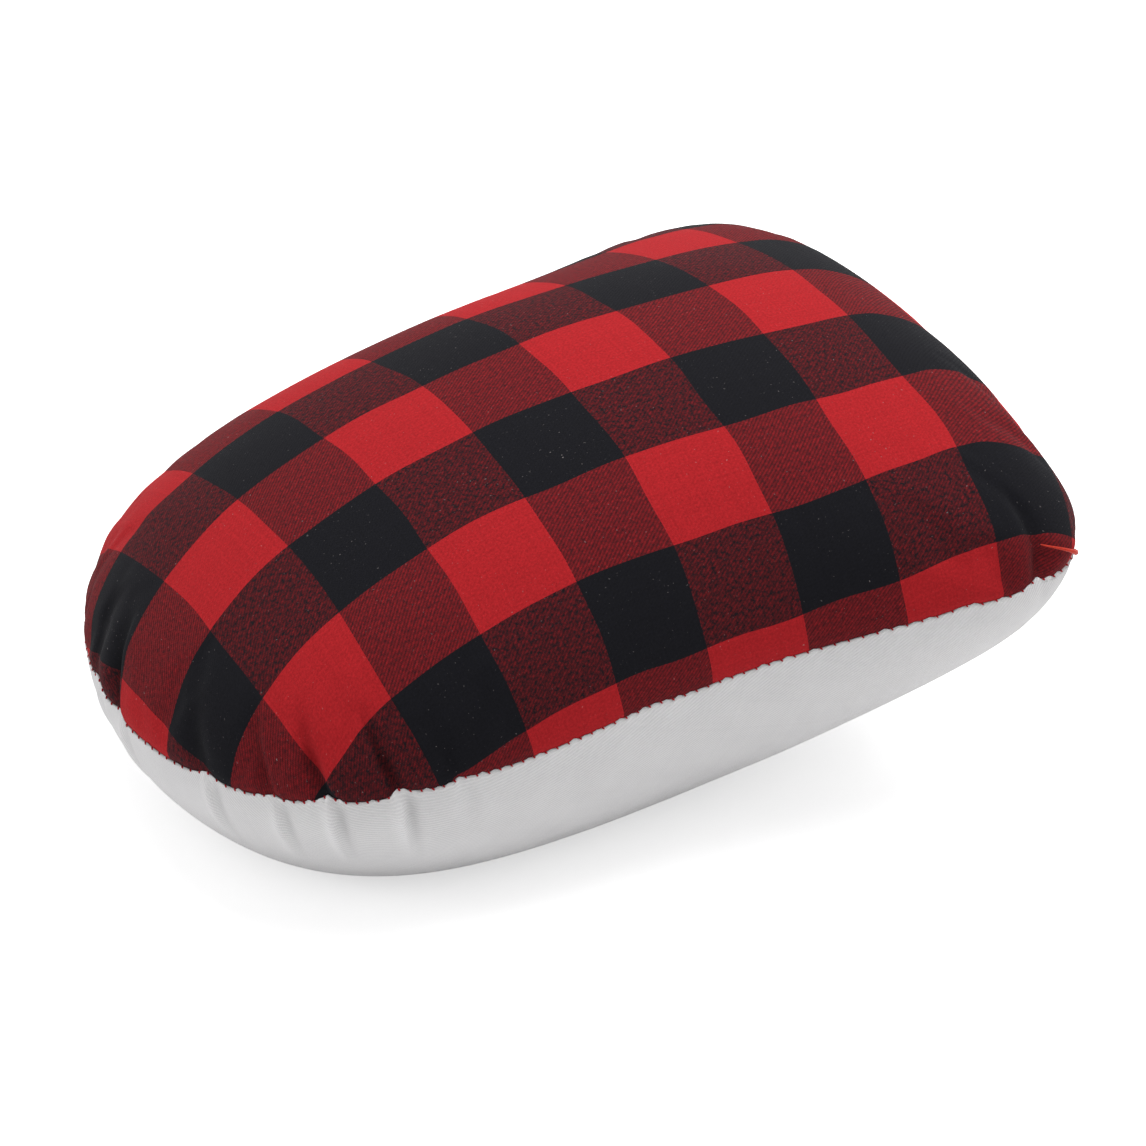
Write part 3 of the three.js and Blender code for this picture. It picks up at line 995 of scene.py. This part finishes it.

# %% [markdown]
# ## Checked twill
# Where both are red the cloth is bright red, where both are black it is black, and where they cross it is
# mixed, with the lengthwise colour a little stronger. The brushed nap softens it: black fibres dull the
# mixed checks, pale lint lies on the cloth, and the sheen of the shader gives the soft edge of a napped
# cloth. Shade is painted into the folds beside the tucks, darker by the depth that was kept for each point.

# %% The checked cloth
RED, BLACK = (0.446, 0.0168, 0.0215, 1), (0.0085, 0.0085, 0.0112, 1)
LINT = (0.40, 0.36, 0.36, 1)
WEFTS_PER_CHECK, WARPS_PER_CHECK = 84, 100
WEFT_SPACING, WARP_SPACING = CHECK / WEFTS_PER_CHECK, CHECK / WARPS_PER_CHECK
OVER, UNDER = 0.67, 0.33
DULL_RED_WARP, DULL_BLACK_WARP, DULL_PATCHES = 0.37, 0.71, 2.0
SLUBS, GRAINS, FLECKS, PATCHES, FUZZ = 1000, 1500, 1300, 60, 2200
NAPPED = 0.7
TONE_LEAST, TONE_SPAN, GRAIN_LEAST = 0.92, 0.16, 0.50
LINT_FROM, LINT_FULL, LINT_COVER = 0.69, 0.77, 0.6
PATCH_FROM, PATCH_FULL = 0.35, 0.70
CHECKED_PAINTED_SHADE, CHECKED_BUMP, CHECKED_RELIEF = 0.6, 0.4, 0.0001
FUZZ_HEIGHT = 0.6
CHECKED_FINISH = (0.02, 0.95)
CLOTH_GLOSS, SHEEN_SPREAD = 0.1, 0.5


def cloth_material(name, sheen, roughness_value):
    material = bpy.data.materials.new(name)
    material.use_nodes = True
    shader = material.node_tree.nodes["Principled BSDF"]
    shader.inputs["Roughness"].default_value = roughness_value
    shader.inputs["Specular IOR Level"].default_value = CLOTH_GLOSS
    shader.inputs["Sheen Weight"].default_value = sheen
    shader.inputs["Sheen Roughness"].default_value = SHEEN_SPREAD
    return material, material.node_tree, shader


def cloth_metres(tree):
    """Metres along and across from the piece's UV map, and the map itself."""
    node = tree.nodes.new("ShaderNodeUVMap")
    node.uv_map = "cloth"
    parts = tree.nodes.new("ShaderNodeSeparateXYZ")
    wire(tree, parts.inputs[0], node.outputs["UV"])
    return parts.outputs["X"], parts.outputs["Y"], node.outputs["UV"]


def woven(tree, along, across, weft_spacing, warp_spacing, floats):
    """The outputs of the twill group, with these values put in."""
    node = tree.nodes.new("ShaderNodeGroup")
    node.node_tree = weave
    values = (along, across, weft_spacing, warp_spacing, floats)
    for socket, value in zip(node.inputs, values):
        wire(tree, socket, value)
    return node.outputs


def bumped(tree, shader, height, strength, distance):
    node = tree.nodes.new("ShaderNodeBump")
    node.inputs["Strength"].default_value = strength
    node.inputs["Distance"].default_value = distance
    wire(tree, node.inputs["Height"], height)
    wire(tree, shader.inputs["Normal"], node.outputs["Normal"])


def stripe(tree, metres, spacing, threads):
    """1 on the black stripes, 0 on the red ones, and a change only between two threads."""
    number = calc(tree, "FLOOR", calc(tree, "DIVIDE", metres, spacing))
    band = calc(tree, "FLOOR", calc(tree, "DIVIDE", number, float(threads)))
    return calc(tree, "FLOORED_MODULO", band, 2.0)


def painted_shade_and_highlight(tree, depth):
    """1 on the open cloth, darker by a depth where shade is painted into a fold, lighter where a highlight is
    painted.
    """
    node = tree.nodes.new("ShaderNodeAttribute")
    node.attribute_name = "fold"
    return calc(tree, "SUBTRACT", 1.0, calc(tree, "MULTIPLY", node.outputs["Fac"], depth))


def shaded(tree, colour, amount):
    """A colour made darker or lighter by an amount, 1 for no change."""
    grey = tree.nodes.new("ShaderNodeCombineXYZ")
    for socket in grey.inputs:
        wire(tree, socket, amount)
    return mixed(tree, 1.0, colour, grey.outputs[0], "MULTIPLY")


checked, tree, shader = cloth_material("checked_twill", *CHECKED_FINISH)
along, across, metres = cloth_metres(tree)
threads = woven(tree, along, across, WEFT_SPACING, WARP_SPACING, FLOATS)
black_warp = stripe(tree, across, WARP_SPACING, WARPS_PER_CHECK)
black_weft = stripe(tree, along, WEFT_SPACING, WEFTS_PER_CHECK)
crossing = calc(tree, "ABSOLUTE", calc(tree, "SUBTRACT", black_warp, black_weft))
lengthwise = choose(tree, threads["Lengthwise On Top"], UNDER, OVER)
colour = mixed(tree, choose(tree, lengthwise, black_weft, black_warp), RED, BLACK)
slubs = calc(tree, "SUBTRACT", noise_of(tree, metres, SLUBS, 3.0, NAPPED), 0.5)
dulled = choose(tree, black_warp, DULL_RED_WARP, DULL_BLACK_WARP)
dulled = calc(tree, "ADD", dulled, calc(tree, "MULTIPLY", slubs, DULL_PATCHES))
colour = mixed(tree, calc(tree, "MULTIPLY", crossing, dulled), colour, BLACK)
tone = calc(tree, "ADD", TONE_LEAST, calc(tree, "MULTIPLY", threads["Tone"], TONE_SPAN))
grain = calc(tree, "ADD", GRAIN_LEAST, noise_of(tree, metres, GRAINS, 3.0, NAPPED))
# Thread tone and grain are the cloth's own colour; the fold attribute adds painted shade.
shade = calc(tree, "MULTIPLY", calc(tree, "MULTIPLY", tone, grain), painted_shade_and_highlight(tree, CHECKED_PAINTED_SHADE))
colour = shaded(tree, colour, shade)
lint = ramp(tree, noise_of(tree, metres, FLECKS), LINT_FROM, LINT_FULL)
patches = ramp(tree, noise_of(tree, metres, PATCHES), PATCH_FROM, PATCH_FULL)
flecked = calc(tree, "MULTIPLY", calc(tree, "MULTIPLY", lint, patches), LINT_COVER)
colour = mixed(tree, flecked, colour, LINT)
wire(tree, shader.inputs["Base Color"], colour)
fuzz = calc(tree, "MULTIPLY", noise_of(tree, metres, FUZZ, 3.0), FUZZ_HEIGHT)
bumped(tree, shader, calc(tree, "ADD", threads["Height"], fuzz), CHECKED_BUMP, CHECKED_RELIEF)
checked_cover.data.materials.append(checked)
apart = [round(1000 * spacing, 2) for spacing in (WEFT_SPACING, WARP_SPACING)]
print("checked twill: threads", apart, "mm apart")

# %% [markdown]
# ## White drill
# The underside is a firm white cotton drill. Its ribs are the same twill, finer and all white, so they show
# only as faint lines. A bump gives them a little relief, and their shade is also painted into the colour,
# darker where the crosswise threads lie on top and towards each thread's edges. The hollows beside the
# tucks get painted shade and the ridges a painted highlight. The piece was cut with its ribs nearly along
# the ham, which a Mapping node gives by turning the cloth under the weave.

# %% The drill
DRILL_WHITE, DRILL_SHADE = (0.97, 0.96, 0.965, 1), (0.80, 0.79, 0.80, 1)
DRILL_SPACING = 0.00027
RIB_TURN = math.radians(-21)
CLOUDS = 90
RIB_ROUND = 0.4
RIB_PAINTED_SHADE, TONE_PART, CLOUD_PART = 0.6, 0.15, 0.4
PALE_FROM, PALE_FULL = 0.15, 0.85
DRILL_PAINTED_SHADE_AND_HIGHLIGHT, DRILL_BUMP, DRILL_RELIEF = 0.28, 0.8, 0.00028
DRILL_FINISH = (0.05, 0.9)
drill, tree, shader = cloth_material("white_drill", *DRILL_FINISH)
_, _, metres = cloth_metres(tree)
turned = tree.nodes.new("ShaderNodeMapping")
turned.inputs["Rotation"].default_value[2] = RIB_TURN
wire(tree, turned.inputs["Vector"], metres)
parts = tree.nodes.new("ShaderNodeSeparateXYZ")
wire(tree, parts.inputs[0], turned.outputs["Vector"])
threads = woven(tree, parts.outputs["X"], parts.outputs["Y"], DRILL_SPACING, DRILL_SPACING, FLOATS)
# Painted shade on the ribs: darker where the crosswise threads lie on top and at the threads' edges.
rib = choose(tree, threads["Lengthwise On Top"], 0.0, choose(tree, RIB_ROUND, 1.0, threads["Height"]))
tone = calc(tree, "MULTIPLY", threads["Tone"], TONE_PART)
cloudy = calc(tree, "MULTIPLY", noise_of(tree, metres, CLOUDS, 3.0), CLOUD_PART)
pale = calc(tree, "ADD", calc(tree, "MULTIPLY", rib, RIB_PAINTED_SHADE), calc(tree, "ADD", tone, cloudy))
colour = mixed(tree, ramp(tree, pale, PALE_FROM, PALE_FULL), DRILL_SHADE, DRILL_WHITE)
# The fold attribute paints shade in the hollows and a highlight on the ridges beside the tucks.
wire(tree, shader.inputs["Base Color"], shaded(tree, colour, painted_shade_and_highlight(tree, DRILL_PAINTED_SHADE_AND_HIGHLIGHT)))
bumped(tree, shader, rib, DRILL_BUMP, DRILL_RELIEF)
drill_cover.data.materials.append(drill)
print("drill ribs", round(1000 * DRILL_SPACING * REPEAT / math.sqrt(2), 2), "mm apart")

# %% [markdown]
# ## Thread, calico and sawdust
# The threads are twisted, calico is a plain weave in the colour of raw cotton, and the sawdust is a mass
# of pale and brown grains. All of them are drawn as fine grains of two tones, which read Object
# coordinates, since no pattern has to follow their surface.

# %% The other finishes
THREAD_FINISH, CALICO_FINISH, SAWDUST_FINISH = (0.1, 0.6), (0.1, 0.95), (0.0, 1.0)
GRAIN_ROUGH, DRIFT_COARSER = 0.65, 12
GRAIN_PART, DRIFT_PART = 0.7, 0.3
DARK_BELOW, PALE_ABOVE = 0.35, 0.65
GRAIN_BUMP = 0.5


def grainy(name, finish, pale, dark, scale, relief):
    """A finish of two tones in fine grains, with a bump to match."""
    material, tree, shader = cloth_material(name, *finish)
    place = tree.nodes.new("ShaderNodeTexCoord").outputs["Object"]
    grains = noise_of(tree, place, scale, 4.0, GRAIN_ROUGH)
    drift = noise_of(tree, place, scale / DRIFT_COARSER)
    fine = calc(tree, "MULTIPLY", grains, GRAIN_PART)
    amount = calc(tree, "ADD", fine, calc(tree, "MULTIPLY", drift, DRIFT_PART))
    colour = mixed(tree, ramp(tree, amount, DARK_BELOW, PALE_ABOVE), dark, pale)
    wire(tree, shader.inputs["Base Color"], colour)
    bumped(tree, shader, grains, GRAIN_BUMP, relief)
    return material


red_thread = grainy(
    "red_thread", THREAD_FINISH, (0.50, 0.018, 0.028, 1), (0.30, 0.010, 0.016, 1), 2500, 0.0001
)
orange_thread = grainy(
    "closing_thread", THREAD_FINISH, (0.70, 0.055, 0.026, 1), (0.42, 0.020, 0.014, 1), 2500, 0.0001
)
calico = grainy(
    "raw_calico", CALICO_FINISH, (0.70, 0.63, 0.49, 1), (0.58, 0.50, 0.37, 1), 1800, 0.0001
)
sawdust = grainy(
    "softwood_sawdust", SAWDUST_FINISH, (0.66, 0.44, 0.21, 1), (0.36, 0.20, 0.08, 1), 500, 0.0004
)
for piece, material in (
    (needle_stitches, red_thread),
    (bobbin_stitches, red_thread),
    (closing_stitches, orange_thread),
    (upper_calico, calico),
    (lower_calico, calico),
    (packed_sawdust, sawdust),
):
    piece.data.materials.append(material)
    for face in piece.data.polygons:
        face.use_smooth = True
print("finishes:", [m.name for m in bpy.data.materials if m.users])

# %% [markdown]
# ## Putting the pieces on the frame
# A ham has no joint, so every piece rides on the one body. Each stands in for its solid, which is hidden.

# %% Ride and replace
DRESSED = (
    (checked_cover, "plaid_cover", "checked_twill"),
    (drill_cover, "drill_cover", "white_drill"),
    (upper_calico, "upper_lining", "lining_calico"),
    (lower_calico, "lower_lining", "lining_calico"),
    (packed_sawdust, "sawdust_filling", "sawdust"),
    (needle_stitches, "needle_thread", "red_thread"),
    (bobbin_stitches, "bobbin_thread", "red_thread"),
    (closing_stitches, "closing_thread", "closing_thread"),
)
for piece, node, slot in DRESSED:
    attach(piece, "root")
    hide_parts(node)
print(len(DRESSED), "pieces ride on root, each in the place of its solid")

# %% [markdown]
# ## Measuring the size
# Cloth is puffed up and puckered, so the dressed ham may stand a little past its solids, but not more than
# a hem would. Measuring both boxes in the script shows at once a slip of a few millimetres that a picture
# would hide. The two boxes are printed.

# %% Measure both boxes
low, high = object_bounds()
box, solids = ([round(1000 * c, 1) for c in span] for span in (high - low, cad_high - cad_low))
print("visual box", box, "mm; solids", solids, "mm")
